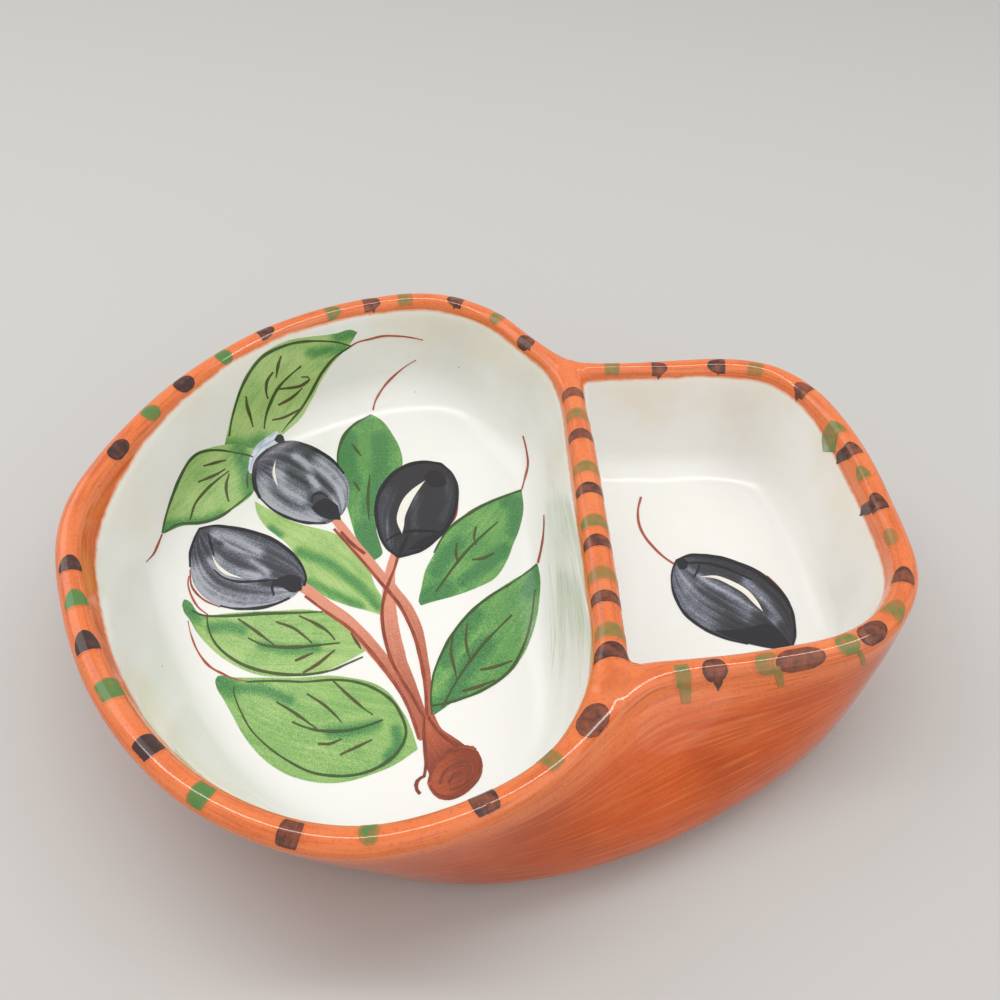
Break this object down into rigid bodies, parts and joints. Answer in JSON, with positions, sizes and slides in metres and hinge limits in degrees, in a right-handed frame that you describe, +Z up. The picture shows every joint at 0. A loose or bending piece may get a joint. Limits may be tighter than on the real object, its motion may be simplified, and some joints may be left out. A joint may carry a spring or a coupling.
{
  "type": "divided olive dish",
  "caption": "Oval glazed red clay dish, pinched in at a wall that parts a large well for olives from a small well for stones, with a painted olive sprig.",
  "frame": {"origin": "on the table, under the middle of the rim", "axes": "+Z up, +X along the dish from the large well to the small well, +Y to the back as pictured"},
  "size_m": [0.2202, 0.197, 0.0452],
  "materials": {
    "red_clay": "red earthenware under a clear gloss glaze",
    "cream_slip": "poured cream slip under a clear gloss glaze",
    "dark_colour": "brushed underglaze colour, gloss",
    "green_colour": "brushed underglaze colour, gloss",
    "leaf_colour": "brushed underglaze wash, gloss",
    "stem_colour": "brushed underglaze line, gloss",
    "olive_colour": "brushed underglaze colour, gloss"
  },
  "bodies": {
    "root": {"bowl": "red_clay", "divider": "red_clay", "large_well_slip": "cream_slip", "small_well_slip": "cream_slip", "rim_dark_dabs": "dark_colour", "rim_green_dabs": "green_colour", "divider_dark_dabs": "dark_colour", "divider_green_dabs": "green_colour", "large_well_leaves": "leaf_colour", "large_well_stems": "stem_colour", "large_well_olives": "olive_colour", "large_well_tendrils": "stem_colour", "small_well_olive": "olive_colour", "small_well_tendril": "stem_colour"}
  },
  "joints": []
}
